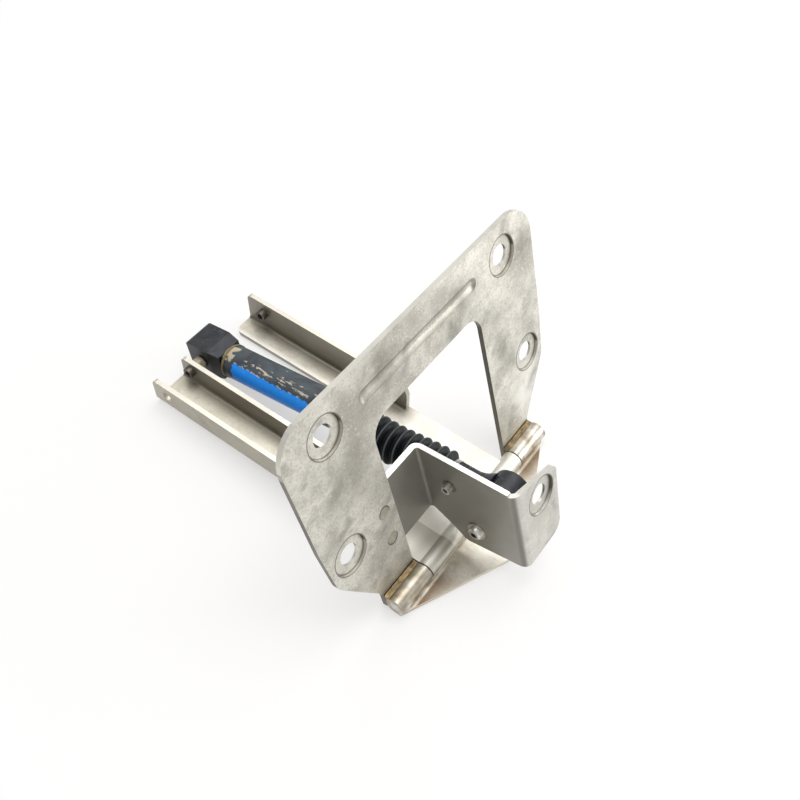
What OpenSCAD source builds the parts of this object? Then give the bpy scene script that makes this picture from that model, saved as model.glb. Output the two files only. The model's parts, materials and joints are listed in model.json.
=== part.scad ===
// Hood hinge of a snowmobile: a dished hood plate swings on a rolled sheet hinge,
// and a gas damper under a rubber bellows works between the chassis channels and a bracket on the plate.
// Millimetres. X runs along the hinge pin, Y along the channels away from the hinge, Z is up.

/* [Hinge] */
// Length of the whole row of knuckles
hinge_len = 146; // [130:1:170]
// Length of the middle knuckle
mid_len = 91; // [80:1:104]
// Diameter of the hinge pin
pin_d = 6; // [5:0.5:8]
// Thickness of the folded sheet
sheet_t = 3; // [2:0.25:4]
// Gap between neighbouring knuckles
knuckle_gap = 0.8; // [0.4:0.1:1.2]
// Radial clearance of a running fit
run_clear = 0.05; // [0.02:0.01:0.1]
// Inside radius of the sheet bends
bend_r = 2; // [1:0.5:3]
// How far the leaf lies below the top of its knuckle
leaf_drop = 1.5; // [0.8:0.1:2]
// How far the stiffening plate reaches in front of the pin
front_reach = 33; // [26:1:38]
// Width of the stiffening plate at its front
front_w = 22; // [12:1:40]
// Width of a fillet weld beside a knuckle
weld_w = 2.8; // [2:0.2:4]

/* [Hood plate] */
// Lean of the hood plate towards the channels, in degrees
plate_tilt = 16; // [8:1:20]
// Height of the hood plate above the pin
plate_h = 147; // [140:1:165]
// Width of the hood plate at its top
plate_w = 204; // [196:1:220]
// Width of the hood plate at its hips
hip_w = 200; // [194:1:214]
// Height of the hips above the pin
hip_v = 72; // [66:1:80]
// Radius of the two top corners
top_corner_r = 20; // [10:1:26]
// Distance between the top holes
top_span = 146; // [136:1:150]
// Height of the top holes above the pin
top_v = 128; // [122:1:132]
// Distance between the lower holes
low_span = 166; // [156:1:170]
// Height of the lower holes above the pin
low_v = 53.5; // [48:0.5:60]
// Bore of each stepped hole
hole_d = 12; // [9:0.5:13]
// Diameter of the step pressed round each hole
dish_d = 22.5; // [20:0.5:24]
// Depth of the step round a hole
dish_depth = 1.6; // [0.8:0.1:1.8]
// Height of the opening above the pin
opening_v = 110; // [104:1:114]
// Radius of the opening's top corners
opening_r = 12; // [6:1:20]
// Length of the pressed bead between the top holes
bead_len = 97; // [70:1:110]
// Width of the pressed bead
bead_w = 8; // [5:0.5:10]
// Depth of the pressed bead
bead_depth = 1.6; // [1:0.1:2]

/* [Swing bracket] */
// Distance of the bracket wall from the middle of the hinge
wall_x = 19; // [18:0.5:23]
// Reach of the bracket in front of the pin
bracket_reach = 50; // [47:1:54]
// Lap of the bracket behind the left leg
flange_lap = 17; // [14:1:20]
// Height of the bracket's flange top
flange_top_v = 70; // [66:1:76]
// Height of the wall top at the front
wall_top_v = 57.5; // [56:0.5:62]
// Height of the tab top at its free end
tab_top_v = 48; // [44:1:56]
// Height of the flange bottom
flange_low_v = 23; // [21:0.5:27]
// Height of the wall and tab bottom
wall_low_v = 1; // [0:0.5:4]
// Reach of the tab to the right of the hinge middle
tab_right = 18; // [17:1:24]
// Sideways place of the tab's hole
tab_hole_x = 2; // [0:0.5:3]
// Height of the tab's hole
tab_hole_v = 40; // [34:0.5:40.5]
// Radius of the tab's free corners
tab_corner_r = 5; // [2:0.5:6]
// Diameter of the flush rivets
rivet_d = 7; // [5:0.5:8]
// Height of the lower flush rivet
rivet_v = 36; // [32:0.5:40]
// Distance between the flush rivets
rivet_pitch = 19; // [14:0.5:22]

/* [Chassis bracket] */
// Distance from the pin to the far end of the channels
channel_far = 199; // [185:1:215]
// Reach of the chassis bracket to the left
base_left = 51; // [49:0.5:56]
// Reach of the chassis bracket to the right
base_right = 37.5; // [35.5:0.5:42]
// Place of the inner flange's damper side, left of the middle
slot_left = 24; // [22:0.5:27]
// Place of the slot's right edge
slot_right = 20; // [18:0.5:23]
// Distance from the pin to the near end of the slot
slot_near = 46; // [40:1:54]
// Height of the left flange, over the whole channel
flange_h = 20; // [18:0.2:24]
// Height of the inner flange beside the damper
inner_h = 18.4; // [17.4:0.2:22]
// Height of the right flange
right_h = 23.6; // [21:0.2:26]
// Distance from the pin to the near end of the flanges
flange_near = 71; // [64:1:80]
// Diameter of the plain hole in the left flange
flange_hole_d = 7; // [5:0.5:8]
// Distance of the left flange's hole from the far end
flange_hole_in = 11; // [10:0.5:14]
// Height of the left flange's hole above the base
flange_hole_z = 9; // [8:0.25:10]
// Distance of the sleeve from the far end
sleeve_in = 13.5; // [10:0.5:16]
// Height of the sleeve above the base
sleeve_z = 12; // [9:0.25:14]

/* [Damper] */
// Sideways place of the damper's far ball
far_x = -7; // [-8:0.1:-5]
// Sideways place of the damper's near ball
near_x = -4.5; // [-4.8:0.1:-3.5]
// Height of the near ball, along the plate
near_v = 36.5; // [35:0.5:38]
// Distance of the far ball from the far end of the channels
far_in = 8; // [7:0.5:11]
// Diameter of the cylinder
tube_d = 21; // [19:0.5:21.5]
// Wall of the cylinder
tube_wall = 1.5; // [1:0.1:2]
// Length of the cylinder
tube_len = 96; // [86:1:100]
// Diameter of the piston rod
rod_d = 8; // [6:0.5:9]
// Diameter of the balls
ball_d = 8; // [7:0.5:8.5]
// Width of the ball sockets
socket_w = 19; // [16:0.5:19.5]
// Radius of the near socket's head
socket_r = 10.5; // [9.5:0.1:11]
// Gap between the near socket and the tab
near_gap = 5; // [4:0.25:6]
// Free play of the near ball in its socket
pivot_play = 3.4; // [3.2:0.1:3.8]
// Distance from the far ball to the cylinder
socket_len = 15.5; // [13.5:0.5:18]
// Distance from the far ball to the back of its socket
socket_back = 13; // [10:0.5:15]
// Number of convolutions of the bellows
folds = 12; // [8:1:16]
// Largest radius of the bellows at the cylinder
bellows_r = 12.6; // [12.2:0.1:12.8]
// Largest radius of the bellows at the rod end
bellows_tip_r = 9.6; // [9:0.1:9.8]
// Depth of a convolution
fold_depth = 2.6; // [1.5:0.1:3]
// Wall of the bellows
rubber_t = 1.1; // [0.8:0.1:1.4]

/* [Hidden] */
$fn = 64;
arc_steps = 8;
slack = 0.05;

// Sheet and hinge
bend_out = bend_r + sheet_t;
bore_r = pin_d / 2 + run_clear;
knuckle_r = bore_r + sheet_t;
outer_from = mid_len / 2 + knuckle_gap;
base_top = knuckle_r - leaf_drop;
base_z = base_top - sheet_t;
flange_z = base_z + flange_h;
inner_z = base_z + inner_h;
right_z = base_z + right_h;
leaf_len = 30;
leaf_flare = 10;

// Hood side, in the frame of the plate: y is minus the reach, z is the height
plate_front = knuckle_r;
plate_back = plate_front + sheet_t;
lap_back = plate_back + sheet_t;
opening_x = outer_from;
flange_left = -opening_x - flange_lap;
wall_left = -wall_x;
wall_right = wall_left + sheet_t;
tab_front = -bracket_reach;
tab_back = tab_front + sheet_t;
rivet_x = -opening_x - flange_lap / 2;
wall_rivet_at = [-7.6, 46.5];
wall_screw_at = [-20, 16.5];

// Damper, as an axis from the far ball to the near ball
ball_r = ball_d / 2;
near_back = tab_back + near_gap + socket_r;
near_y = near_v * sin(plate_tilt) + near_back * cos(plate_tilt);
near_z = near_v * cos(plate_tilt) - near_back * sin(plate_tilt);
hole_y = channel_far - flange_hole_in;
hole_z = base_top + flange_hole_z;
sleeve_y = channel_far - sleeve_in;
sleeve_up = base_top + sleeve_z;
far_y = channel_far - far_in;
far_z = hole_z;
damper_rise = atan2(near_z - far_z, far_y - near_y);
damper_len = norm([near_x - far_x, near_z - far_z, far_y - near_y]);
damper_skew = asin((near_x - far_x) / damper_len);
tube_r = tube_d / 2;
far_half_h = tube_r + 0.3;
far_half_w = socket_w / 2 + 1;
socket_edge = 4;
bore_tube = tube_r - tube_wall;
rod_r = rod_d / 2;
tube_end = socket_len + tube_len;
neck_len = 14;
neck_r = rod_r + 2;
neck_from = damper_len - socket_r - neck_len;
nut_h = 4;
ring_h = 3;
bellows_from = tube_end - 8;
bellows_to = neck_from - nut_h - 0.5;
cuff_r = rod_r + 0.3;
guide_h = 12;
seal_h = 4;
piston_h = 9;
piston_in = 30;
piston_from = socket_len + piston_in;

// Overall place: the origin lies under the middle of the whole part
front_y = wall_low_v * sin(plate_tilt) + tab_front * cos(plate_tilt);
back_y = far_y + (socket_back - socket_edge) * cos(damper_rise)
    + (far_half_h - socket_edge) * sin(damper_rise) + socket_edge;
axis_y = -(front_y + back_y) / 2;
axis_z = knuckle_r;

// Points of an arc that rounds corner b between a and c
function unit(v) = v / norm(v);
function corner(a, b, c, r) =
    let (u = unit(a - b), w = unit(c - b), half = acos(u * w) / 2,
        m = b + unit(u + w) * r / sin(half), s = b + u * r / tan(half) - m, e = b + w * r / tan(half) - m,
        from = atan2(s.y, s.x), turn = (atan2(e.y, e.x) - from + 540) % 360 - 180)
    [for (i = [0 : arc_steps]) let (a = from + turn * i / arc_steps) m + r * [cos(a), sin(a)]];

// Outline through points given as [x, y, radius]
function flat(p) = [p.x, p.y];
function rounded(p) = [for (i = [0 : len(p) - 1])
    each p[i].z == 0 ? [flat(p[i])]
        : corner(flat(p[(i + len(p) - 1) % len(p)]), flat(p[i]), flat(p[(i + 1) % len(p)]), p[i].z)];

// Mirror image of an outline in the line x = 0, listed the other way round
function mirrored(p) = [for (i = [len(p) - 1 : -1 : 0]) [-p[i].x, p[i].y, p[i].z]];

// Frames
module placed() {
    translate([0, axis_y, axis_z]) children();
}
module hood_frame() {
    placed() rotate([-plate_tilt, 0, 0]) children();
}
module damper_frame() {
    placed() translate([far_x, far_y, far_z]) rotate([90 - damper_rise, 0, 0]) rotate([0, damper_skew, 0])
        children();
}

// Upright sheet: an outline in x and z, from y_front back by t
module upright(y_front, t) {
    translate([0, y_front + t, 0]) rotate([90, 0, 0]) linear_extrude(t) children();
}
// Side sheet: an outline in y and z, from x_left by t
module side(x_left, t) {
    translate([x_left, 0, 0]) rotate([90, 0, 90]) linear_extrude(t) children();
}
// Body turned about a line along X through y and z, from points [radius, x]
module turned(profile, y, z) {
    translate([0, y, z]) rotate([0, 90, 0]) rotate_extrude() polygon(profile);
}
// Round bar along X, from x_left by len
module bar(x_left, len, r) {
    translate([x_left, 0, 0]) rotate([0, 90, 0]) cylinder(r = r, h = len);
}

// Stepped hole, cut from the front of a sheet
module step_cut(x, y_front, v) {
    translate([x, y_front - 1, v]) rotate([-90, 0, 0]) {
        cylinder(d = hole_d, h = sheet_t + 2);
        cylinder(d = dish_d, h = 1 + dish_depth);
    }
}
module plate_holes() {
    for (s = [-1, 1]) {
        translate([s * top_span / 2, 0, top_v]) children();
        translate([s * low_span / 2, 0, low_v]) children();
    }
}

// Fixed half: one folded sheet with the middle knuckle, the leaf and the two channels
module base_outline() {
    far = channel_far;
    polygon(rounded([[-mid_len / 2, 0, 0], [-mid_len / 2, leaf_len, 6],
        [-base_left, leaf_len + leaf_flare, 6], [-base_left, far, 0],
        [-slot_left, far, 0], [-slot_left, slot_near, 8], [slot_right, slot_near, 8], [slot_right, far, 5],
        [base_right, far, 0], [base_right, 0, 0]]));
}
module left_section() {
    inner = -slot_left - sheet_t;
    outer = -base_left + sheet_t;
    polygon(rounded([[-base_left, flange_z, 0], [-base_left, base_z, bend_out],
        [-slot_left, base_z, bend_out], [-slot_left, inner_z, 0], [inner, inner_z, 0],
        [inner, base_top, bend_r], [outer, base_top, bend_r],
        [outer, flange_z, 0]]));
}
module right_section() {
    inner = base_right - sheet_t;
    polygon(rounded([[slot_right, base_z, 0], [base_right, base_z, bend_out], [base_right, right_z, 0],
        [inner, right_z, 0], [inner, base_top, bend_r], [slot_right, base_top, 0]]));
}
module flange_side(top) {
    polygon(rounded([[flange_near, base_z, 0], [channel_far, base_z, 0], [channel_far, top, 3],
        [flange_near, top, 9]]));
}
module channel(x_left, x_right, top) {
    intersection() {
        upright(flange_near, channel_far - flange_near) children();
        side(x_left, x_right - x_left) flange_side(top);
        translate([0, 0, base_z]) linear_extrude(top - base_z) base_outline();
    }
}
module channels() {
    middle = -(base_left + slot_left) / 2;
    channel(-base_left, middle + 1, flange_z) left_section();
    channel(middle - 1, -slot_left, inner_z) left_section();
    channel(slot_right, base_right, right_z) right_section();
}
module leaf() {
    translate([0, 0, base_z]) linear_extrude(sheet_t) intersection() {
        base_outline();
        translate([-base_left, 0]) square([base_left + base_right, flange_near + bend_out]);
    }
}
module chassis_bracket() {
    color("#b9b6ae") placed() difference() {
        union() {
            bar(-mid_len / 2, mid_len, knuckle_r);
            leaf();
            channels();
        }
        bar(-mid_len / 2 - 1, mid_len + 2, bore_r);
        translate([-base_left - 1, hole_y, hole_z]) bar(0, sheet_t + 2, flange_hole_d / 2);
        translate([base_right - sheet_t - 1, sleeve_y, sleeve_up]) bar(0, sheet_t + 2, sleeve_r + slack);
        translate([-slot_left - sheet_t - 1, far_y, far_z]) bar(0, sheet_t + 2, stud_r + slack);
    }
}

// Hollow threaded sleeve pressed into the right flange
sleeve_r = 3.5;
sleeve_bore_r = 2.1;
sleeve_out = 4;
sleeve_head_r = 5;
sleeve_head = 1.2;
module mount_sleeve() {
    left = base_right - sheet_t - sleeve_out;
    right = base_right + sleeve_head;
    color("#a9a59b") placed() turned([[sleeve_bore_r, left], [sleeve_r, left], [sleeve_r, base_right],
        [sleeve_head_r, base_right], [sleeve_head_r, right], [sleeve_bore_r, right]], sleeve_y, sleeve_up);
}

// Ball stud riveted through the inner flange, with its hollow tail in the left channel
stud_r = 2.9;
tail_r = 3.6;
tail_bore_r = 1.9;
tail_out = 3.5;
module far_ball_stud() {
    flange_x = -slot_left;
    tail_x = flange_x - sheet_t;
    color("#8d8a83") placed() {
        turned([[tail_bore_r, tail_x - tail_out], [tail_r, tail_x - tail_out], [tail_r, tail_x],
            [stud_r, tail_x], [stud_r, far_x], [0, far_x], [0, tail_x], [tail_bore_r, tail_x]],
            far_y, far_z);
        translate([far_x, far_y, far_z]) sphere(r = ball_r);
    }
}
spacer_r = 4.2;
module stud_spacer() {
    right = far_x - far_half_w - 0.8;
    color("#cbbf9f") placed() turned([[stud_r + slack, -slot_left], [spacer_r, -slot_left],
        [spacer_r, right], [stud_r + slack, right]], far_y, far_z);
}

// Hinge pin
module hinge_pin() {
    color("#8e8b85") placed() bar(-hinge_len / 2, hinge_len, pin_d / 2);
}

// Hood plate with its two legs, stepped holes and pressed bead
module plate_outline() {
    half_leg = hinge_len / 2;
    low_x = low_span / 2;
    right = [[opening_x, -plate_front / 2, 0], [half_leg, -plate_front / 2, 0], [half_leg, 8, 10],
        [low_x + dish_d / 2 + 3, low_v - dish_d / 2, 16], [hip_w / 2, hip_v, 30],
        [plate_w / 2, plate_h, top_corner_r]];
    polygon(rounded(concat(right, mirrored(right), [[-opening_x, opening_v, opening_r],
        [opening_x, opening_v, opening_r]])));
}
bead_bend = (bead_w * bead_w / 4 + bead_depth * bead_depth) / (2 * bead_depth);
bead_y = plate_front - bead_bend + bead_depth;
module bead(r) {
    straight = bead_len - bead_w;
    translate([0, bead_y, top_v + 0.5]) {
        bar(-straight / 2, straight, r);
        for (s = [-1, 1])
            translate([s * straight / 2, 0, 0]) sphere(r = r);
    }
}
module hood_plate() {
    ridge = bead_bend + sheet_t;
    color("#bdb9ae") hood_frame() difference() {
        union() {
            upright(plate_front, sheet_t) plate_outline();
            intersection() {
                bead(ridge);
                translate([-plate_w / 2, plate_back - 1, opening_v])
                    cube([plate_w, ridge, plate_h - opening_v]);
            }
        }
        plate_holes() step_cut(0, plate_front, 0);
        bead(bead_bend);
        for (i = [0, 1])
            translate([rivet_x, plate_front - 1, rivet_v + i * rivet_pitch]) rotate([-90, 0, 0])
                cylinder(d = rivet_d + 2 * slack, h = sheet_t + 2);
    }
}

// Swing bracket: flange behind the left leg, wall through the opening, tab in front
module bracket_plan() {
    polygon(rounded([[flange_left, plate_back, 0], [wall_left, plate_back, bend_r],
        [wall_left, tab_front, bend_out], [tab_right, tab_front, 0],
        [tab_right, tab_back, 0], [wall_right, tab_back, bend_r],
        [wall_right, lap_back, bend_out], [flange_left, lap_back, 0]]));
}
module bracket_side() {
    clear_low = knuckle_r + 5;
    polygon(rounded([[lap_back, flange_low_v, 0], [plate_back, flange_low_v, 0], [-2, clear_low + 2, 4],
        [-clear_low, wall_low_v + 2, 6], [tab_front, wall_low_v, 0], [tab_front, wall_top_v, 0],
        [plate_back, flange_top_v - 1, 0], [lap_back, flange_top_v, 0]]));
}
module tab_shape() {
    polygon(rounded([[wall_left, wall_low_v, 0], [tab_right - 3, wall_low_v, tab_corner_r + 3],
        [tab_right, tab_top_v, tab_corner_r], [wall_right + bend_r, wall_top_v, 8],
        [wall_left, wall_top_v, 0]]));
}
module swing_bracket() {
    color("#aeaba4") hood_frame() difference() {
        intersection() {
            linear_extrude(flange_top_v) bracket_plan();
            side(flange_left, tab_right - flange_left) bracket_side();
            union() {
                upright(tab_front, bend_out) tab_shape();
                translate([flange_left, tab_front + bend_out, 0])
                    cube([tab_right - flange_left, bracket_reach + lap_back, flange_top_v]);
            }
        }
        step_cut(tab_hole_x, tab_front, tab_hole_v);
        for (i = [0, 1])
            translate([rivet_x, plate_back - 1, rivet_v + i * rivet_pitch]) rotate([-90, 0, 0])
                cylinder(d = rivet_d + 2 * slack, h = sheet_t + 2);
        translate([wall_left - 1, wall_rivet_at.x, wall_rivet_at.y]) bar(0, sheet_t + 2, hollow_r + slack);
        translate([wall_left - 1, wall_screw_at.x, wall_screw_at.y]) bar(0, sheet_t + 2, screw_r + slack);
    }
}

// Outer knuckles rolled from the stiffening plate in front of the pin
module front_outline() {
    half = hinge_len / 2;
    swept_r = knuckle_r + 0.35;
    edge = -sqrt(swept_r * swept_r - (knuckle_r - sheet_t) * (knuckle_r - sheet_t));
    side_pts = [[outer_from, edge, 0], [outer_from, 0, 0], [half, 0, 0], [half, -knuckle_r + 2, 0],
        [front_w / 2, -front_reach, 8]];
    polygon(rounded(concat(side_pts, mirrored(side_pts))));
}
module knuckle_plate() {
    knuckle_len = hinge_len / 2 - outer_from;
    color("#a8977f") placed() difference() {
        union() {
            translate([0, 0, -knuckle_r]) linear_extrude(sheet_t) front_outline();
            for (s = [-1, 1])
                bar(s > 0 ? outer_from : -hinge_len / 2, knuckle_len, knuckle_r);
        }
        bar(-hinge_len / 2 - 1, hinge_len + 2, bore_r);
    }
}

// Fillet welds between the legs and the outer knuckles
module knuckle_welds() {
    knuckle_len = hinge_len / 2 - outer_from;
    bead_top = knuckle_r + 0.2;
    color("#b8904e") hood_frame() difference() {
        for (s = [-1, 1])
            side(s > 0 ? outer_from : -hinge_len / 2, knuckle_len)
                polygon([[plate_front - 0.3, 1], [plate_front - 0.3, bead_top],
                    [plate_front - 0.3 - weld_w, bead_top - 0.8], [plate_front - 0.3 - weld_w, 3]]);
        bar(-hinge_len / 2 - 1, hinge_len + 2, knuckle_r);
    }
}

// Flush rivets through the left leg and the bracket's flange
module flange_rivets() {
    color("#a7a49b") hood_frame()
        for (i = [0, 1])
            translate([rivet_x, plate_front, rivet_v + i * rivet_pitch]) rotate([-90, 0, 0])
                cylinder(d = rivet_d, h = 2 * sheet_t);
}

// Hollow rivet in the bracket wall, with its tail on the outside
hollow_r = 2.6;
hollow_bore_r = 1.5;
hollow_out = 4;
module wall_rivet() {
    head = wall_right + 1.1;
    left = wall_left - hollow_out;
    color("#c4c0b6") hood_frame() turned([[hollow_bore_r, left], [hollow_r, left], [hollow_r, wall_right],
        [hollow_r + 1.8, wall_right], [hollow_r + 1.4, head], [hollow_bore_r, head]],
        wall_rivet_at.x, wall_rivet_at.y);
}

// Socket screw, washer and nut low on the bracket wall
screw_r = 2.5;
washer_t = 1;
washer_r = 5.6;
head_h = 2.8;
head_r = 4.5;
nut_t = 4;
module wall_screw() {
    seat = wall_left - washer_t;
    left = seat - head_h;
    right = wall_right + nut_t + 1;
    color("#c9c6bd") hood_frame() difference() {
        turned([[0, left], [head_r - 1.6, left], [head_r - 0.5, left + 0.8], [head_r, seat - 0.6],
            [head_r, seat], [screw_r, seat], [screw_r, right - 0.6], [screw_r - 0.6, right], [0, right]],
            wall_screw_at.x, wall_screw_at.y);
        translate([left - 0.01, wall_screw_at.x, wall_screw_at.y]) rotate([0, 90, 0])
            cylinder(r = 1.7, h = 1.6, $fn = 6);
    }
}
module wall_washer() {
    face = wall_left - washer_t;
    color("#b3b0a8") hood_frame() turned([[screw_r + slack, face], [washer_r, face],
        [washer_r, wall_left], [screw_r + slack, wall_left]], wall_screw_at.x, wall_screw_at.y);
}
module wall_nut() {
    color("#a9a69e") hood_frame() difference() {
        translate([wall_right, wall_screw_at.x, wall_screw_at.y]) rotate([0, 90, 0])
            cylinder(r = head_r + 0.2, h = nut_t, $fn = 6);
        translate([wall_right - 1, wall_screw_at.x, wall_screw_at.y]) bar(0, nut_t + 2, screw_r + slack);
    }
}

// Ball stud welded to the inner side of the bracket wall
module near_ball_stud() {
    neck = stud_r - 0.5;
    collar = wall_right + 1.2;
    color("#8d8a83") hood_frame() {
        turned([[0, wall_right], [ball_r + 0.8, wall_right], [ball_r + 0.8, collar], [neck, collar],
            [neck, near_x], [0, near_x]], near_back, near_v);
        translate([near_x, near_back, near_v]) sphere(r = ball_r);
    }
}

// Gas damper, cylinder side
module damper_tube() {
    lip = 1;
    stub_z = socket_len - stub_len;
    color("#39424c") damper_frame() rotate_extrude() polygon([[0, stub_z], [stub_r, stub_z],
        [stub_r, socket_len], [tube_r - lip, socket_len], [tube_r, socket_len + lip],
        [tube_r, tube_end - lip], [tube_r - lip, tube_end],
        [bore_tube, tube_end], [bore_tube, socket_len + 3], [0, socket_len + 3]]);
}
stub_r = 3;
stub_len = 6;
collar_h = 1.6;
collar_up = 0.4;
module end_collar() {
    color("#c8b98d") damper_frame() translate([0, 0, socket_len + 1.5]) difference() {
        cylinder(r = tube_r + collar_up, h = collar_h);
        translate([0, 0, -1]) cylinder(r = tube_r + slack, h = collar_h + 2);
    }
}
module far_socket() {
    end_r = tube_r - 1.4;
    color("#26282c") damper_frame() difference() {
        intersection() {
            side(-far_half_w, 2 * far_half_w) polygon(rounded([[-far_half_h, -socket_back, socket_edge],
                [far_half_h, -socket_back, socket_edge], [far_half_h, 7, 3], [end_r, socket_len, 0],
                [-end_r, socket_len, 0], [-far_half_h, 7, 3]]));
            upright(-far_half_h, 2 * far_half_h) polygon(rounded([[-far_half_w, -socket_back, 3],
                [far_half_w, -socket_back, 3], [far_half_w, 7, 3], [end_r, socket_len, 0],
                [-end_r, socket_len, 0], [-far_half_w, 7, 3]]));
        }
        bar(-far_half_w - 1, far_half_w + 1 + ball_r + 0.5, ball_r + run_clear);
        translate([0, 0, socket_len - stub_len - 0.5]) cylinder(r = stub_r + slack, h = stub_len + 1);
    }
}
module rod_guide() {
    color("#75777b") damper_frame() translate([0, 0, tube_end - guide_h]) difference() {
        cylinder(r = bore_tube - slack, h = guide_h);
        translate([0, 0, -1]) cylinder(r = rod_r + run_clear, h = guide_h + 2);
    }
}
module rod_seal() {
    color("#1d1e20") damper_frame() translate([0, 0, tube_end - guide_h - seal_h]) difference() {
        cylinder(r = bore_tube - slack, h = seal_h);
        translate([0, 0, -1]) cylinder(r = rod_r + run_clear, h = seal_h + 2);
    }
}

// Rubber bellows from the cylinder to the rod end
cuff_len = 6;
function wave(i, r) = i % 2 == 1 ? r : r - fold_depth;
function fold_r(i) = let (t = i / (2 * folds)) wave(i, bellows_r + (bellows_tip_r - bellows_r) * t);
folds_from = bellows_from + cuff_len;
folds_to = bellows_to - ring_h - 1;
function fold_z(i) = folds_from + i * (folds_to - folds_from) / (2 * folds);
module bellows() {
    seat_r = tube_r + 0.1;
    land = 0.8;
    outer = [for (i = [1 : 2 * folds - 1])
        each [[fold_r(i), fold_z(i) - land], [fold_r(i), fold_z(i) + land]]];
    inner = [for (p = outer) [p.x - rubber_t, p.y]];
    back = [for (i = [len(inner) - 1 : -1 : 0]) inner[i]];
    color("#1f2226") damper_frame() rotate_extrude() polygon(concat(
        [[seat_r, bellows_from], [seat_r + rubber_t, bellows_from], [seat_r + rubber_t, folds_from]],
        outer, [[cuff_r + rubber_t, folds_to], [cuff_r + rubber_t, bellows_to], [cuff_r, bellows_to],
        [cuff_r, folds_to - rubber_t]], back, [[seat_r, tube_end + 1.2]]));
}

// Gas damper, rod side
rod_seat = 8;
module piston_rod() {
    spigot_r = rod_r - 1;
    color("#c5c6c8") damper_frame() rotate_extrude() polygon([[0, piston_from], [spigot_r, piston_from],
        [spigot_r, piston_from + piston_h], [rod_r, piston_from + piston_h], [rod_r, neck_from + rod_seat],
        [0, neck_from + rod_seat]]);
}
module piston() {
    color("#5d5f63") damper_frame() translate([0, 0, piston_from]) difference() {
        cylinder(r = bore_tube - 0.08, h = piston_h);
        translate([0, 0, -1]) cylinder(r = rod_r - 1 + slack, h = piston_h + 2);
    }
}
module near_socket() {
    half_w = socket_w / 2;
    edge = 1.6;
    neck_to = neck_from + neck_len + 2.5;
    color("#2a2c30") damper_frame() difference() {
        union() {
            translate([0, 0, damper_len]) turned([[0, -half_w], [socket_r - edge, -half_w],
                [socket_r - 0.4, 0.5 - half_w], [socket_r, edge - half_w],
                [socket_r, half_w - edge], [socket_r - 0.4, half_w - 0.5],
                [socket_r - edge, half_w], [0, half_w]], 0, 0);
            rotate_extrude() polygon([[0, neck_from], [neck_r, neck_from], [neck_r - 0.3, neck_from + 7],
                [neck_r + 0.6, neck_from + 11], [socket_r - 1.2, neck_to], [0, neck_to]]);
        }
        translate([0, 0, damper_len]) bar(-half_w - 1, half_w + 1 + ball_r + 1, ball_r + pivot_play);
        translate([0, 0, neck_from - 1]) cylinder(r = rod_r + slack, h = rod_seat + 1.2);
        translate([-2, socket_r - 2.4, damper_len - 6]) cube([5, 1.2, 1.6]);
    }
}
module clamp_ring() {
    color("#cfcdc6") damper_frame() translate([0, 0, bellows_to - ring_h]) difference() {
        cylinder(r = cuff_r + rubber_t + 1.2, h = ring_h);
        translate([0, 0, -1]) cylinder(r = cuff_r + rubber_t + slack, h = ring_h + 2);
    }
}
module lock_nut() {
    color("#33353a") damper_frame() translate([0, 0, neck_from - nut_h]) difference() {
        cylinder(r = neck_r + 0.8, h = nut_h, $fn = 6);
        translate([0, 0, -1]) cylinder(r = rod_r + slack, h = nut_h + 2);
    }
}

chassis_bracket();
mount_sleeve();
far_ball_stud();
stud_spacer();
hinge_pin();
hood_plate();
swing_bracket();
knuckle_plate();
knuckle_welds();
flange_rivets();
wall_rivet();
wall_screw();
wall_washer();
wall_nut();
near_ball_stud();
damper_tube();
end_collar();
far_socket();
rod_guide();
rod_seal();
bellows();
piston_rod();
piston();
near_socket();
clamp_ring();
lock_nut();
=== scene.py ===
# %% [markdown]
# # A hood hinge with a gas damper
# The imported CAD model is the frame: every solid already has its true size and place.
# This lesson gives each solid the look of its real material, swaps the plain rubber
# bellows for a softer one that sags, and sets up floor, light and camera.

# %% Load the frame
import json

import bpy
import numpy as np
from mathutils import Matrix, Vector


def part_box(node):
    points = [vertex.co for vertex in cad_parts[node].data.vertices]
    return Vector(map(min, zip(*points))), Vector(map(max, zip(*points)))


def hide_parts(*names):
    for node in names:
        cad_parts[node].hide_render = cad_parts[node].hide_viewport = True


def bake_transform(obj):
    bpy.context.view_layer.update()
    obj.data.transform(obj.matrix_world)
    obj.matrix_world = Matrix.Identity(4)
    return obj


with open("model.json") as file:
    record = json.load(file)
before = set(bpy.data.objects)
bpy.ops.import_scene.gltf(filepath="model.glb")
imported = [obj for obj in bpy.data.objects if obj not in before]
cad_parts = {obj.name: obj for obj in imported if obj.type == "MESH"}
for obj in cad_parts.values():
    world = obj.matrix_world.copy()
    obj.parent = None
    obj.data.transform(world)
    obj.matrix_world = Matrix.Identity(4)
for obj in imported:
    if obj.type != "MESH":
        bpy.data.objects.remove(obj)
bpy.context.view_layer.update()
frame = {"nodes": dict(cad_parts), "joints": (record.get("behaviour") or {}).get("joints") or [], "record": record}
nodes = frame["nodes"]
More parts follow.
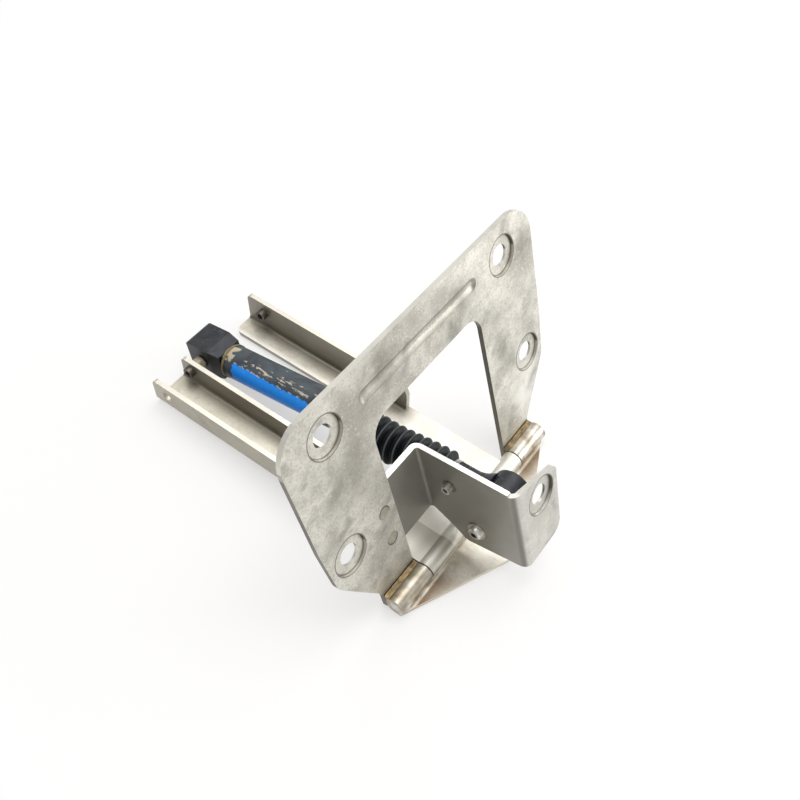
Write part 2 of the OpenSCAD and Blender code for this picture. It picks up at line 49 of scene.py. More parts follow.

# %% [markdown]
# ## Three places that the patterns need
# Marks follow the object: painted highlights on upward edge faces, dirt and painted shade round
# the holes, heat tint at the pin. So the patterns are measured from the hinge pin, from the holes
# and along the damper. The packed record knows all three, from its joints and its mounts. The hood
# plate leans, so it has directions of its own: out of its face, up along it and to its front.

# %% Pin, holes and damper axis
MM = 0.001
PIN_AXIS = np.array([1.0, 0.0, 0.0])
joints = {joint["name"]: joint for joint in frame["joints"]}
pin = np.array(joints["hood_swing"]["pos_m"], float)
far_ball = np.array(joints["cylinder_pivot"]["pos_m"], float)
along = np.array(joints["rod_slide"]["axis"], float)
along /= np.linalg.norm(along)
up = np.cross(along, PIN_AXIS)
up *= np.sign(up[2]) / np.linalg.norm(up)
across = np.cross(up, along)
mounts = {mount["name"]: mount for mount in frame["record"]["mounts"]}
plate_out = np.array(mounts["tab_hole"]["axis"], float)
plate_up = np.cross(plate_out, PIN_AXIS)
plate_up *= np.sign(plate_up[2])
plate_front = -np.sign(plate_out[1]) * plate_out
holes = {name: (np.array(mount["pos_m"]) - pin) / MM for name, mount in mounts.items()}
print("damper from", far_ball.round(4), "along", along.round(3), "and", len(holes), "holes")

# %% [markdown]
# ## Helpers for materials
# Colours are picked as sRGB hex values, because that is what a screen shows, but shaders
# work in linear light, so one function converts them. Another adds a shader node with its
# settings and links, which keeps each recipe short. A new finish starts with its shader and
# the piece's own place in millimetres from the hinge pin, so that a pattern's size can be
# written as a real one.

# %% Colour and node helpers
# settings that many nodes share
SOFT = {"interpolation_type": "SMOOTHSTEP"}
TIMES = {"operation": "MULTIPLY"}
ABSOLUTE = {"operation": "ABSOLUTE"}
DOT = {"out": "Value", "operation": "DOT_PRODUCT"}
LENGTH = {"out": "Value", "operation": "LENGTH"}
# a Mix node has sockets for every kind of value, and these are the ones for colours
MIX_SHARE, MIX_UNDER, MIX_OVER, MIX_OUT = 0, 6, 7, 2


def linear(colour):
    """sRGB hex to linear RGBA.

    A channel c becomes c / 12.92 when dark, otherwise ((c + 0.055) / 1.055) to the power 2.4.
    """
    c = np.array([int(colour[i:i + 2], 16) for i in (1, 3, 5)]) / 255
    lin = np.where(c <= 0.04045, c / 12.92, ((c + 0.055) / 1.055) ** 2.4)
    return (*[float(v) for v in lin], 1.0)


def add(tree, kind, inputs=(), out=0, **settings):
    """Adds a node with its settings and gives back one of its outputs.

    Inputs go by number or name: a socket is linked, a value is set.
    """
    node = tree.nodes.new("ShaderNode" + kind)
    for name, value in settings.items():
        setattr(node, name, value)
    for key, value in (inputs if isinstance(inputs, dict) else dict(enumerate(inputs))).items():
        if isinstance(value, bpy.types.NodeSocket):
            tree.links.new(value, node.inputs[key])
        else:
            node.inputs[key].default_value = value
    return node.outputs[out]


def new_finish(name, metallic, roughness):
    """A material, its tree and shader, the place in millimetres from the pin, and the normal."""
    mat = bpy.data.materials.new(name)
    mat.use_nodes = True
    tree = mat.node_tree
    shader = tree.nodes["Principled BSDF"]
    shader.inputs["Metallic"].default_value = metallic
    shader.inputs["Roughness"].default_value = roughness
    where = add(tree, "TexCoord", out="Object")
    mm = add(tree, "Mapping", {"Vector": where, "Location": -pin / MM, "Scale": [1 / MM] * 3})
    return mat, tree, shader, mm, where.node.outputs["Normal"]


def patches(tree, mm, size, low, high, share=1.0, stretch=(1, 1, 1), detail=3.0, distortion=0.5):
    """Patches about size millimetres wide, drawn out by stretch.

    The mask is 0 where the noise is below low and rises to share where it is above high.
    """
    drawn = add(tree, "Mapping", {"Vector": mm, "Scale": [1 / (size * s) for s in stretch]})
    noise = {"Vector": drawn, "Scale": 1.0, "Detail": detail, "Distortion": distortion}
    cloud = add(tree, "TexNoise", noise, "Fac")
    return add(tree, "MapRange", [cloud, low, high, 0.0, share], **SOFT)


def close(tree, shader, coats, grain, depth_mm, roughness=None):
    """Lays the coats, each (mask, colour), over each other and presses in grain by depth_mm."""
    shade = linear(coats[0][1])
    for mask, colour in coats[1:]:
        layers = {MIX_SHARE: mask, MIX_UNDER: shade, MIX_OVER: linear(colour)}
        shade = add(tree, "Mix", layers, MIX_OUT, data_type="RGBA")
    relief = add(tree, "Bump", {"Height": grain, "Distance": depth_mm * MM, "Strength": 0.5})
    for name, socket in (("Base Color", shade), ("Normal", relief), ("Roughness", roughness)):
        if socket is not None:
            tree.links.new(socket, shader.inputs[name])


print("white as linear light:", linear("#ffffff"))

# %% [markdown]
# ## Where the sheets are dirty, and where light and shade are painted on them
# Light and shade are painted into the sheets' colour here: edge faces that look up get a painted
# highlight, and sides that look left, creases and slopes get painted shade. An edge is found from
# the direction of its face: across the plate for the hood plate, up for the bracket, and on top of
# the flanges for the channels. The step round each hole, a ring of known radius about the hole's
# axis, is darkened as dirt and painted shade, and the channels darken towards their creases in the
# same way. Painted shadow lies round the heads in the bracket's wall. Each function below gives one
# sheet its marks, as coats of (mask, colour) that lie over each other.

# %% Marks of the hood plate
STEP_R = 11.25
RIVET_R = 3.5
# the first colour darkens the rings round the holes, rivets and heads, as dirt and painted shade
DIRT_AND_SHADE, SMUDGE, PAINTED_SHEEN = "#48453e", "#77736a", "#f4f2ec"
# place across and up the plate, reach, strength and colour of the spots: smudges that handling left, and last a
# pale patch of painted sheen on the lower right
SPOTS = [(93, 122, 15, 0.7, SMUDGE), (66, 62, 14, 0.5, SMUDGE), (-72, 92, 28, 0.4, SMUDGE),
         (-32, 130, 30, 0.45, SMUDGE), (28, 128, 28, 0.4, SMUDGE), (-66, 30, 24, 0.35, SMUDGE),
         (80, 28, 30, 0.75, PAINTED_SHEEN)]

# the flush rivets sit at both ends of their box, one above the other along the plate
low, high = (np.array(corner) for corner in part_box("flange_rivets"))
rivet_mid = ((low + high) / 2 - pin) / MM
rivet_reach = (high - low)[2] / MM / 2 / plate_up[2] - RIVET_R
rings = [(holes[name], STEP_R) for name in holes if name.startswith(("top", "low"))]
rings += [(rivet_mid + side * rivet_reach * plate_up, RIVET_R) for side in (-1, 1)]


def points_of(name):
    """The points of a CAD node's mesh, in metres, one row each."""
    flat = np.empty(3 * len(nodes[name].data.vertices))
    nodes[name].data.vertices.foreach_get("co", flat)
    return flat.reshape(-1, 3)


# the seam runs along the plate where the weld beads end
seam_v = float(((points_of("knuckle_welds") - pin) @ plate_up).max() / MM)


def ring_mask(tree, mm, centre, radius, axis=plate_out, width=0.9, share=0.75):
    """Ring round an axis: the length of (place - centre) x axis is within width of radius."""
    arm = add(tree, "VectorMath", [mm, centre], operation="SUBTRACT")
    swept = add(tree, "VectorMath", [arm, axis], operation="CROSS_PRODUCT")
    reach = add(tree, "VectorMath", [swept], **LENGTH)
    off = add(tree, "Math", [reach, radius], operation="SUBTRACT")
    off = add(tree, "Math", [off], **ABSOLUTE)
    return add(tree, "MapRange", [off, 0.3 * width, width, share, 0.0], **SOFT)


def on_front(tree, normal):
    """1 on all faces but those that look to the back, from the cosine to the plate's front."""
    cosine = add(tree, "VectorMath", [normal, plate_front], **DOT)
    return add(tree, "MapRange", [cosine, -0.5, -0.2], **SOFT)


def plate_marks(tree, mm, normal):
    """Spots of smudge and painted sheen, dark rings of dirt and painted shade, painted shade along the weld seam
    and on the bead's slopes, and dark edge faces.

    The size of the cosine between a face and the plate's own direction tells slopes and edge faces
    from the flat. Edge faces that look up along the plate get a painted highlight.
    """
    facing = add(tree, "VectorMath", [normal, plate_out], **DOT)
    facing = add(tree, "Math", [facing], **ABSOLUTE)
    # painted shade on the slopes of the bead and of the steps round the holes
    slopes = add(tree, "MapRange", [facing, 0.9, 0.99, 0.55, 0.0], **SOFT)
    edges = add(tree, "MapRange", [facing, 0.3, 0.7, 0.9, 0.0], **SOFT)
    # painted highlight on the edge faces that look up along the plate
    rising = add(tree, "VectorMath", [normal, plate_up], **DOT)
    lit = add(tree, "MapRange", [rising, 0.0, 0.15], **SOFT)
    lit = add(tree, "Math", [edges, lit], **TIMES)
    coats = []
    for x, v, reach, share, colour in SPOTS:
        arm = add(tree, "VectorMath", [mm, x * PIN_AXIS + v * plate_up], operation="SUBTRACT")
        away = add(tree, "VectorMath", [arm], **LENGTH)
        spot = add(tree, "MapRange", [away, 0.2 * reach, reach, share, 0.0], **SOFT)
        cloudy = patches(tree, mm, 11.0, 0.2, 0.65, detail=2.5)
        coats.append((add(tree, "Math", [spot, cloudy], **TIMES), colour))
    front = on_front(tree, normal)
    # dark rings: dirt and painted shade in the step round each hole, and dark rims round the rivets
    dirt = [ring_mask(tree, mm, *ring) for ring in rings]
    coats += [(add(tree, "Math", [mask, front], **TIMES), DIRT_AND_SHADE) for mask in dirt]
    # a dark line just above the weld beads: painted shade in the crevice between leg and knuckle
    rise = add(tree, "VectorMath", [mm, plate_up], **DOT)
    seam = add(tree, "MapRange", [rise, seam_v + 0.3, seam_v + 1.2, 0.9, 0.0], **SOFT)
    coats.append((add(tree, "Math", [seam, front], **TIMES), "#2b2722"))
    return coats + [(slopes, "#7f7b71"), (edges, "#77736a"), (lit, "#e6e3da")]


print("rings of dirt on the plate:", len(rings), "and a seam at", round(seam_v, 1), "mm")

# %% Marks of the bracket
WALL_X = (-18.4, -16.6)
middle = {name: (np.mean(np.array(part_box(name)), axis=0) - pin) / MM
          for name in ("wall_rivet", "wall_screw", "mount_sleeve", "far_ball_stud")}
# radius, width and strength of the painted shadow round each head in the wall
HEADS = {"wall_rivet": (3.4, 1.4, 0.6), "wall_screw": (5.2, 1.2, 0.6)}


def bracket_marks(tree, mm, normal):
    """Painted shade left of the wall and in its crease, painted shadow round the heads, dirt and painted shade
    round the tab's hole, and a painted highlight on the upper edge faces.

    A crease looks partly out and partly left, so the product of the two cosines finds it.
    """
    x = add(tree, "SeparateXYZ", [mm], "X")
    # painted shade on the bracket left of the wall: its left face and the flange behind the leg
    left = add(tree, "MapRange", [x, *WALL_X, 0.95, 0.0], **SOFT)
    # painted highlight on the edge faces that look up along the plate
    facing = add(tree, "VectorMath", [normal, plate_up], **DOT)
    edges = add(tree, "MapRange", [facing, 0.4, 0.8], **SOFT)
    out = add(tree, "VectorMath", [normal, plate_out], **DOT)
    side = add(tree, "VectorMath", [normal, -PIN_AXIS], **DOT)
    leaning = add(tree, "Math", [out, side], **TIMES)
    # painted shade in the crease between the wall and the flange
    crease = add(tree, "MapRange", [leaning, 0.12, 0.4, 0.0, 0.6], **SOFT)
    crease = add(tree, "Math", [crease, left], **TIMES)
    # painted shadow round the rivet and the screw head
    heads = [ring_mask(tree, mm, middle[name], radius, PIN_AXIS, width, share)
             for name, (radius, width, share) in HEADS.items()]
    # dark ring in the step round the tab's hole: dirt and painted shade
    ring = ring_mask(tree, mm, holes["tab_hole"], STEP_R)
    ring = add(tree, "Math", [ring, on_front(tree, normal)], **TIMES)
    return [(left, "#94928a"), (crease, "#6f6c65"), *[(head, DIRT_AND_SHADE) for head in heads],
            (ring, DIRT_AND_SHADE), (edges, "#e4e2dc")]


print("dirt round", len(HEADS), "heads and the tab's hole")

# %% Marks of the channels
# places in millimetres from the pin: a mark begins or fades between the two numbers
LEFT_FLANGE_X = (-47.0, -45.0)
LEFT_DIRT_AND_SHADE_X, LEFT_SIDE_X = (-42.0, -29.0), (-25.5, -24.5)
RIGHT_DIRT_AND_SHADE_X = (25.0, 33.0)
SLOT_X, SLOT_EDGE_X = 18.0, (20.5, 24.0)
LEAF_START_Y, LEAF_END_Y = (-7.0, -4.0), (60.0, 74.0)
BEHIND_Y = (62.0, 74.0)
FLANGE_Z = (9.0, 10.0)
LOOKS_LEFT = (-0.95, -0.6)


def channel_marks(tree, mm, normal):
    """Painted shade on left-looking sides and in the creases, dirt and painted shade towards the creases, a worn
    slot edge with a painted highlight, a painted highlight on the flange tops, and bright ends.

    A crease looks partly sideways and partly up, so the product of the two finds it.
    """
    x, y, z = add(tree, "SeparateXYZ", [mm]).node.outputs
    face_x, face_y, face_z = add(tree, "SeparateXYZ", [normal]).node.outputs
    # painted shade on faces that look left, stronger inside the left outer flange
    inner = add(tree, "MapRange", [face_x, *LOOKS_LEFT, 0.85, 0.0], **SOFT)
    inside = add(tree, "MapRange", [x, *LEFT_FLANGE_X], **SOFT)
    inner = add(tree, "Math", [inner, inside], **TIMES)
    outer = add(tree, "MapRange", [face_x, *LOOKS_LEFT, 0.5, 0.0], **SOFT)
    # painted shade in the creases
    sideways = add(tree, "Math", [face_x], **ABSOLUTE)
    leaning = add(tree, "Math", [sideways, face_z], **TIMES)
    crease = add(tree, "MapRange", [leaning, 0.12, 0.4, 0.0, 0.75], **SOFT)
    # darker towards the right flange: dirt and painted shade
    right_dirt_and_shade = add(tree, "MapRange", [x, *RIGHT_DIRT_AND_SHADE_X, 0.0, 0.5], **SOFT)
    behind = add(tree, "MapRange", [y, *BEHIND_Y], **SOFT)
    right_dirt_and_shade = add(tree, "Math", [right_dirt_and_shade, behind], **TIMES)
    # darker towards the left inner flange: dirt and painted shade
    left_dirt_and_shade = add(tree, "MapRange", [x, *LEFT_DIRT_AND_SHADE_X, 0.1, 0.6], **SOFT)
    left_side = add(tree, "MapRange", [x, *LEFT_SIDE_X, 1.0, 0.0], **SOFT)
    left_dirt_and_shade = add(tree, "Math", [left_dirt_and_shade, left_side], **TIMES)
    rubbed = add(tree, "MapRange", [y, *LEAF_START_Y, 0.0, 0.75], **SOFT)
    on_leaf = add(tree, "MapRange", [y, *LEAF_END_Y, 1.0, 0.0])
    rubbed = add(tree, "Math", [rubbed, on_leaf], **TIMES)
    # pale slot edge: wear, with a painted highlight on it
    worn = add(tree, "MapRange", [x, *SLOT_EDGE_X, 0.7, 0.0], **SOFT)
    past_slot = add(tree, "Math", [x, SLOT_X], operation="GREATER_THAN")
    worn = add(tree, "Math", [worn, past_slot], **TIMES)
    # painted highlight on the flange tops; the bright ends are cut faces
    top = add(tree, "MapRange", [face_z, 0.6, 0.9], **SOFT)
    top = add(tree, "Math", [top, add(tree, "MapRange", [z, *FLANGE_Z])], **TIMES)
    end = add(tree, "Math", [face_y], **ABSOLUTE)
    end = add(tree, "MapRange", [end, 0.6, 0.9, 0.0, 0.7], **SOFT)
    bright_edges = add(tree, "Math", [top, end], operation="MAXIMUM")
    return [(rubbed, "#eeebe2"), (outer, "#9d988c"), (right_dirt_and_shade, "#8b8578"),
            (left_dirt_and_shade, "#9a9384"), (worn, "#eeebe3"), (inner, "#9b978d"),
            (crease, "#6d675b"), (bright_edges, "#ddd8cb")]


print("channels: dirt from", LEFT_DIRT_AND_SHADE_X, "and", RIGHT_DIRT_AND_SHADE_X, "mm across")

# %% [markdown]
# ## Folded steel sheet
# The plate, the bracket and the channels are stainless sheet, rolled, pickled and folded. That
# gives the eye a warm grey with soft clouds from handling, small stains, specks of dirt and a
# few scratches along the rolling direction. The specks are drawn about twice their real size,
# because finer ones don't show in the render.

# %% Sheet steel recipe
def sheet_steel(name, body, pale, stain, rough, marks, stains):
    """Clouds, stains, specks and scratches on the body colour, then the sheet's own marks.

    A layer has its size in millimetres, low, high and share of its patches, detail and colour.
    """
    mat, tree, shader, mm, normal = new_finish(name, metallic=0.76, roughness=rough)
    clouds = patches(tree, mm, 22.0, 0.36, 0.66)
    coats = [(None, body), (clouds, pale)]
    for size, low, high, share, detail, colour in (
            (26.0, 0.38, 0.75, stains, 2.0, stain),
            (7.0, 0.42, 0.74, 0.5 * stains, 2.5, stain),
            (1.3, 0.46, 0.68, 0.6 * stains, 4.0, stain),
            (1.1, 0.56, 0.72, 0.8, 3.0, pale),
            (17.0, 0.54, 0.78, 0.85 * stains, 2.5, "#6f6c64"),
            (0.9, 0.71, 0.77, 0.55, 3.0, "#57534b")):
        coats.append((patches(tree, mm, size, low, high, share, detail=detail), colour))
    scratches = patches(tree, mm, 0.7, 0.62, 0.76, 0.25, (20, 1, 1))
    coats.append((scratches, "#efede8"))
    grain = patches(tree, mm, 1.4, 0.3, 0.75)
    uneven = add(tree, "Math", [clouds, 0.12, rough - 0.05], operation="MULTIPLY_ADD")
    close(tree, shader, coats + marks(tree, mm, normal), grain, depth_mm=0.05, roughness=uneven)
    return mat


stainless = sheet_steel("pickled stainless sheet", "#d9d6cb", "#e9e6dc", "#9a968b",
                        rough=0.45, marks=plate_marks, stains=0.62)
bracket_sheet = sheet_steel("satin stainless sheet", "#d1cfc7", "#dddbd3", "#a9a69e",
                            rough=0.42, marks=bracket_marks, stains=0.5)
channel_sheet = sheet_steel("dull folded sheet", "#cfc9bb", "#dcd7ca", "#a9a294",
                            rough=0.45, marks=channel_marks, stains=0.5)
print("sheet materials:", stainless.name, bracket_sheet.name, channel_sheet.name)

# %% [markdown]
# ## Heat tint and weld beads
# Welding the outer knuckles to the legs browned the steel there: straw first, then brown, where
# it got hotter. So the tint is strongest at the pin, fades into the plate in front of it, and
# reaches further out beside the welded knuckles. The bead itself is a greyish gold with a dull,
# lumpy skin.

# %% Tinted steel and weld
# distances from the pin, or out from the middle along it, over which each tint fades
TINT_REACH, KNUCKLE_R, HOT_REACH = (7.0, 19.0), (7.5, 9.0), (9.0, 27.0)
HOT_X = (26.0, 46.0)


def tinted_steel():
    """Tint by distance to the pin, the length of place x pin direction, broken up by patches.

    Faces that look up are less brown, and cut edges away from the knuckles stay pale.
    """
    mat, tree, shader, mm, normal = new_finish("heat tinted stainless sheet",
                                              metallic=0.78, roughness=0.33)
    swept = add(tree, "VectorMath", [mm, PIN_AXIS], operation="CROSS_PRODUCT")
    reach = add(tree, "VectorMath", [swept], **LENGTH)
    near = add(tree, "MapRange", [reach, *TINT_REACH, 1.0, 0.1], **SOFT)
    away = add(tree, "MapRange", [reach, *KNUCKLE_R], **SOFT)
    straw = patches(tree, mm, 9.0, 0.25, 0.75, 0.9, detail=1.5)
    straw = add(tree, "Math", [near, straw], **TIMES)
    face_z = add(tree, "SeparateXYZ", [normal], "Z")
    below = add(tree, "MapRange", [face_z, 0.35, 0.95, 1.0, 0.6], **SOFT)
    brown = patches(tree, mm, 7.0, 0.32, 0.75, 0.75, detail=1.5)
    brown = add(tree, "Math", [near, brown], **TIMES)
    brown = add(tree, "Math", [brown, below], **TIMES)
    outward = add(tree, "Math", [add(tree, "SeparateXYZ", [mm], "X")], **ABSOLUTE)
    hot = add(tree, "MapRange", [outward, *HOT_X, 0.0, 0.95], **SOFT)
    cooling = add(tree, "MapRange", [reach, *HOT_REACH, 1.0, 0.0])
    hot = add(tree, "Math", [hot, cooling], **TIMES)
    hot = add(tree, "Math", [hot, away], **TIMES)
    flat = add(tree, "Math", [face_z], **ABSOLUTE)
    cut = add(tree, "MapRange", [flat, 0.3, 0.7, 0.8, 0.0], **SOFT)
    cut = add(tree, "Math", [cut, away], **TIMES)
    coats = [(None, "#e0dbcf"), (patches(tree, mm, 16.0, 0.4, 0.66), "#eae6dc"),
             (straw, "#b1a48c"), (brown, "#75634d"), (hot, "#5e4a35"),
             (patches(tree, mm, 1.5, 0.58, 0.7, 0.25), "#7a7060"), (cut, "#d8cdb8")]
    close(tree, shader, coats, patches(tree, mm, 1.4, 0.3, 0.75), depth_mm=0.06)
    return mat


def weld_metal():
    """Lumpy bead: 2.5 mm patches of dull gold, 4 mm ones of brown, and a relief of 0.2 mm."""
    mat, tree, shader, mm, _ = new_finish("weld bead, straw tinted",
                                         metallic=0.75, roughness=0.4)
    lumps = patches(tree, mm, 2.5, 0.35, 0.7)
    burnt = patches(tree, mm, 4.0, 0.5, 0.68, 0.7)
    coats = [(None, "#77664a"), (lumps, "#9c8762"), (burnt, "#4c3f2c")]
    close(tree, shader, coats, lumps, depth_mm=0.2)
    return mat


tinted, weld = tinted_steel(), weld_metal()
print("welded area:", tinted.name, "and", weld.name)

# %% [markdown]
# ## Fasteners and turned metal
# Rivets, the screw, its washer and the rings are plain steel with a little dirt, so two close
# tones in small patches are enough. The sleeve and the stud at the far end are dark and dull.

# %% Fastener metals
def turned_metal(name, dark, pale, rough, metallic=0.85, bores=()):
    """Two close tones in 2 mm patches over a fine grain.

    Each bore, (centre, radius), runs along the pin's direction and is painted dark, as painted shade inside it.
    """
    mat, tree, shader, mm, _ = new_finish(name, metallic, roughness=rough)
    coats = [(None, dark), (patches(tree, mm, 2.0, 0.35, 0.68), pale)]
    # the bores are painted dark: painted shade inside them
    coats += [(ring_mask(tree, mm, centre, 0.0, PIN_AXIS, radius, 0.95), "#1d1c1a")
              for centre, radius in bores]
    close(tree, shader, coats, patches(tree, mm, 0.7, 0.3, 0.7), depth_mm=0.04)
    return mat


bright = turned_metal("bright steel fastener", "#c4c2b9", "#e4e2da", rough=0.3,
                      bores=[(middle["wall_rivet"], 1.9), (middle["wall_screw"], 2.6)])
flush = turned_metal("flush steel rivet", "#a9a596", "#bfbbad", rough=0.42)
dull = turned_metal("dull dark steel", "#5a564f", "#7f7a70", rough=0.45, metallic=0.7,
                    bores=[(middle["mount_sleeve"], 2.6), (middle["far_ball_stud"], 2.4)])
ring_steel = turned_metal("plain ring steel", "#a3a19b", "#cfcdc7", rough=0.3)
rod_chrome = turned_metal("hard chrome", "#b5b6b8", "#d2d3d5", rough=0.12, metallic=1.0)
alloy = turned_metal("machined alloy", "#85878a", "#a2a4a7", rough=0.35)
black_oxide = turned_metal("blackened steel", "#24262a", "#3b3e43", rough=0.45, metallic=0.5)
beige = turned_metal("beige passivated steel", "#9a917b", "#bdb49c", rough=0.5, metallic=0.2)
tan_line = turned_metal("tan passivated ring", "#6f6149", "#a08d68", rough=0.45, metallic=0.3)
print("fastener metals, from", bright.name, "to", tan_line.name)

# %% [markdown]
# ## Moulded sockets and rubber
# Both ball sockets are moulded in a charcoal plastic that scuffs to grey. The bellows is black
# rubber: no metal, a fairly high roughness, a weak gloss, and painted sheen on the crests of its folds.

# %% Plastic and rubber
def moulded(name, dark, pale, rough, scuff, scuffs, gloss):
    """Two tones in 6 mm patches, pale scuffs in 3 mm ones, and a painted pale sheen where a mesh marks crests."""
    mat, tree, shader, mm, _ = new_finish(name, metallic=0.0, roughness=rough)
    crests = add(tree, "Attribute", out="Fac", attribute_name="crest")
    # painted sheen: a pale line along each crest of the bellows
    crest_sheen = add(tree, "MapRange", [crests, 0.9, 1.0, 0.0, 0.7], **SOFT)
    coats = [(None, dark), (patches(tree, mm, 6.0, 0.3, 0.7), pale),
             (patches(tree, mm, 3.0, 0.6, 0.78, scuffs, distortion=1.0), scuff),
             (crest_sheen, "#566062")]
    shader.inputs["Specular IOR Level"].default_value = gloss
    close(tree, shader, coats, patches(tree, mm, 0.8, 0.3, 0.7), depth_mm=0.06)
    return mat


socket_plastic = moulded("moulded charcoal plastic", "#1d2025", "#2d3138", rough=0.44,
                         scuff="#63666c", scuffs=0.45, gloss=0.5)
rubber = moulded("black rubber", "#0a0d10", "#101519", rough=0.42,
                 scuff="#1d2226", scuffs=0.4, gloss=0.22)
print("moulded materials:", socket_plastic.name, rubber.name)

# %% [markdown]
# ## The damper's paint
# The tube is painted a dark blue grey. A plain blue band covers its lower left side, and the
# paint has worn off in flakes above the band and round the end. The pattern needs the distance
# along the tube and the angle round it, so a Mapping node turns the place into the damper's
# own frame: side, height and distance along it.

# %% Painted tube
turn = Matrix([list(map(float, v)) for v in (across, up, along)])
shift = -(turn @ Vector(far_ball)) / MM
BAND_TWIST = 0.0024
FRAY_ANGLE, FRAY_MM = 0.09, 1.6


def damper_paint():
    """Angle round the tube: arctangent of height over side, 0 on the left, growing upwards.

    A window is 1 between its start and its end, and an area is the product of its windows.
    """
    mat, tree, shader, mm, _ = new_finish("worn damper paint", metallic=0.0, roughness=0.4)
    where = add(tree, "TexCoord", out="Object")
    own_frame = add(tree, "Mapping", {"Vector": where, "Location": shift,
                                      "Rotation": turn.to_euler("XYZ"), "Scale": [1 / MM] * 3})
    side, height, s = add(tree, "SeparateXYZ", [own_frame]).node.outputs
    left = add(tree, "Math", [side, -1.0], **TIMES)
    angle = add(tree, "Math", [height, left], operation="ARCTAN2")
    fray = patches(tree, mm, 2.6, 0.3, 0.7)
    ragged = add(tree, "Math", [fray, FRAY_ANGLE, angle], operation="MULTIPLY_ADD")
    twist = add(tree, "Math", [s, BAND_TWIST, ragged], operation="MULTIPLY_ADD")
    frayed = add(tree, "Math", [fray, FRAY_MM, s], operation="MULTIPLY_ADD")
    windows = {}
    # start, end and softness: radians round the tube, or millimetres along it from the far ball
    for name, value, start, end, soft in (
            ("band", twist, -0.9, 0.97, 0.03), ("band_length", frayed, 26.0, 94.0, 0.4),
            ("rim", twist, 0.95, 1.03, 0.03),
            ("row", ragged, 1.0, 1.5, 0.06), ("row_length", s, 31.0, 400.0, 3.0),
            ("end", ragged, 0.85, 2.0, 0.1), ("end_length", frayed, 0.0, 24.5, 0.8)):
        rise = add(tree, "MapRange", [value, start, start + soft], **SOFT)
        fall = add(tree, "MapRange", [value, end - soft, end, 1.0, 0.0], **SOFT)
        windows[name] = add(tree, "Math", [rise, fall], **TIMES)
    chips = patches(tree, mm, 5.0, 0.5, 0.56, 0.8)
    scuffs = patches(tree, mm, 1.9, 0.51, 0.56, 0.9, (1, 4.5, 1), detail=4.0)
    scuffed = patches(tree, mm, 9.0, 0.4, 0.52)
    bare = patches(tree, mm, 4.0, 0.38, 0.44, 0.95, detail=5.0)
    areas = {}
    for name, parts in {
            "band": (windows["band"], windows["band_length"]),
            "rim": (windows["rim"], windows["band_length"], chips),
            "flakes": (windows["row"], windows["row_length"], scuffs, scuffed),
            "end": (windows["end"], windows["end_length"], bare)}.items():
        areas[name] = parts[0]
        for part in parts[1:]:
            areas[name] = add(tree, "Math", [areas[name], part], **TIMES)
    coats = [(None, "#353c42"), (patches(tree, mm, 12.0, 0.3, 0.7), "#4b545a"),
             (areas["rim"], "#cfd6dc"), (areas["band"], "#0092ff"),
             (areas["flakes"], "#cbc1b0"), (areas["end"], "#bfb49a"),
             (patches(tree, mm, 1.2, 0.7, 0.74, 0.7, detail=5.0), "#d9dad6")]
    close(tree, shader, coats, patches(tree, mm, 1.5, 0.3, 0.7), depth_mm=0.05)
    return mat


paint = damper_paint()
print("damper paint ready:", paint.name)

# %% [markdown]
# ## Dress every solid
# A node keeps its mesh; only its material slot changes. What isn't in the list below is a
# fastener of bright steel.

# %% Assign materials
finish = {
    "chassis_bracket": channel_sheet, "hood_plate": stainless, "swing_bracket": bracket_sheet,
    "knuckle_plate": tinted, "knuckle_welds": weld, "damper_tube": paint, "end_collar": tan_line,
    "stud_spacer": beige, "far_socket": socket_plastic, "near_socket": socket_plastic,
    "bellows": rubber, "rod_seal": rubber, "piston_rod": rod_chrome, "rod_guide": alloy,
    "piston": alloy, "lock_nut": black_oxide, "clamp_ring": ring_steel, "mount_sleeve": dull,
    "far_ball_stud": dull, "flange_rivets": flush,
}
for name, obj in nodes.items():
    obj.data.materials.clear()
    obj.data.materials.append(finish.get(name, bright))
print("dressed", len(nodes), "nodes")

# %% [markdown]
# ## The bellows
# The real gaiter is a moulded tube of soft rings that sags a little between its ends. The CAD
# solid has flat-sided rings on a straight line, so this piece takes its place, with round crests
# and tight valleys. One closed profile, out along the outer wall and back along the inner one,
# is turned about the damper's axis and let down in the middle. Its ends and lengths are measured
# on the CAD solid.

# %% Measure the CAD bellows
# in millimetres: wall, depth of a valley, lengths of cuff and tail, sag in the middle, how much
# fuller than the solid it is at the cuff, and how far the tube reaches in behind the cuff
wall, valley, cuff, tail, sag, fuller, tube_in = 1.1, 2.8, 6.0, 4.0, 4.3, 1.4, 2.4
folds = 12
end_zone = 1.0
arms = points_of("bellows") - far_ball
solid_s = arms @ along / MM
solid_r = np.linalg.norm(arms - np.outer(arms @ along, along), axis=1) / MM
from_s, to_s = solid_s.min(), solid_s.max()
first_r, last_r = solid_r[solid_s < from_s + end_zone], solid_r[solid_s > to_s - end_zone]
seat_r, cuff_r = first_r.min(), first_r.max()
rod_r, tail_r = last_r.min(), last_r.max()
cuff_s, tail_s = from_s + cuff, to_s - tail
pitch = (tail_s - cuff_s) / folds
crest_from, crest_to = solid_r.max() + fuller, solid_r[solid_s > tail_s - pitch].max()
print("bellows from", from_s.round(1), "to", to_s.round(1), "mm")
print("crests from", crest_from.round(1), "to", crest_to.round(1), "mm")


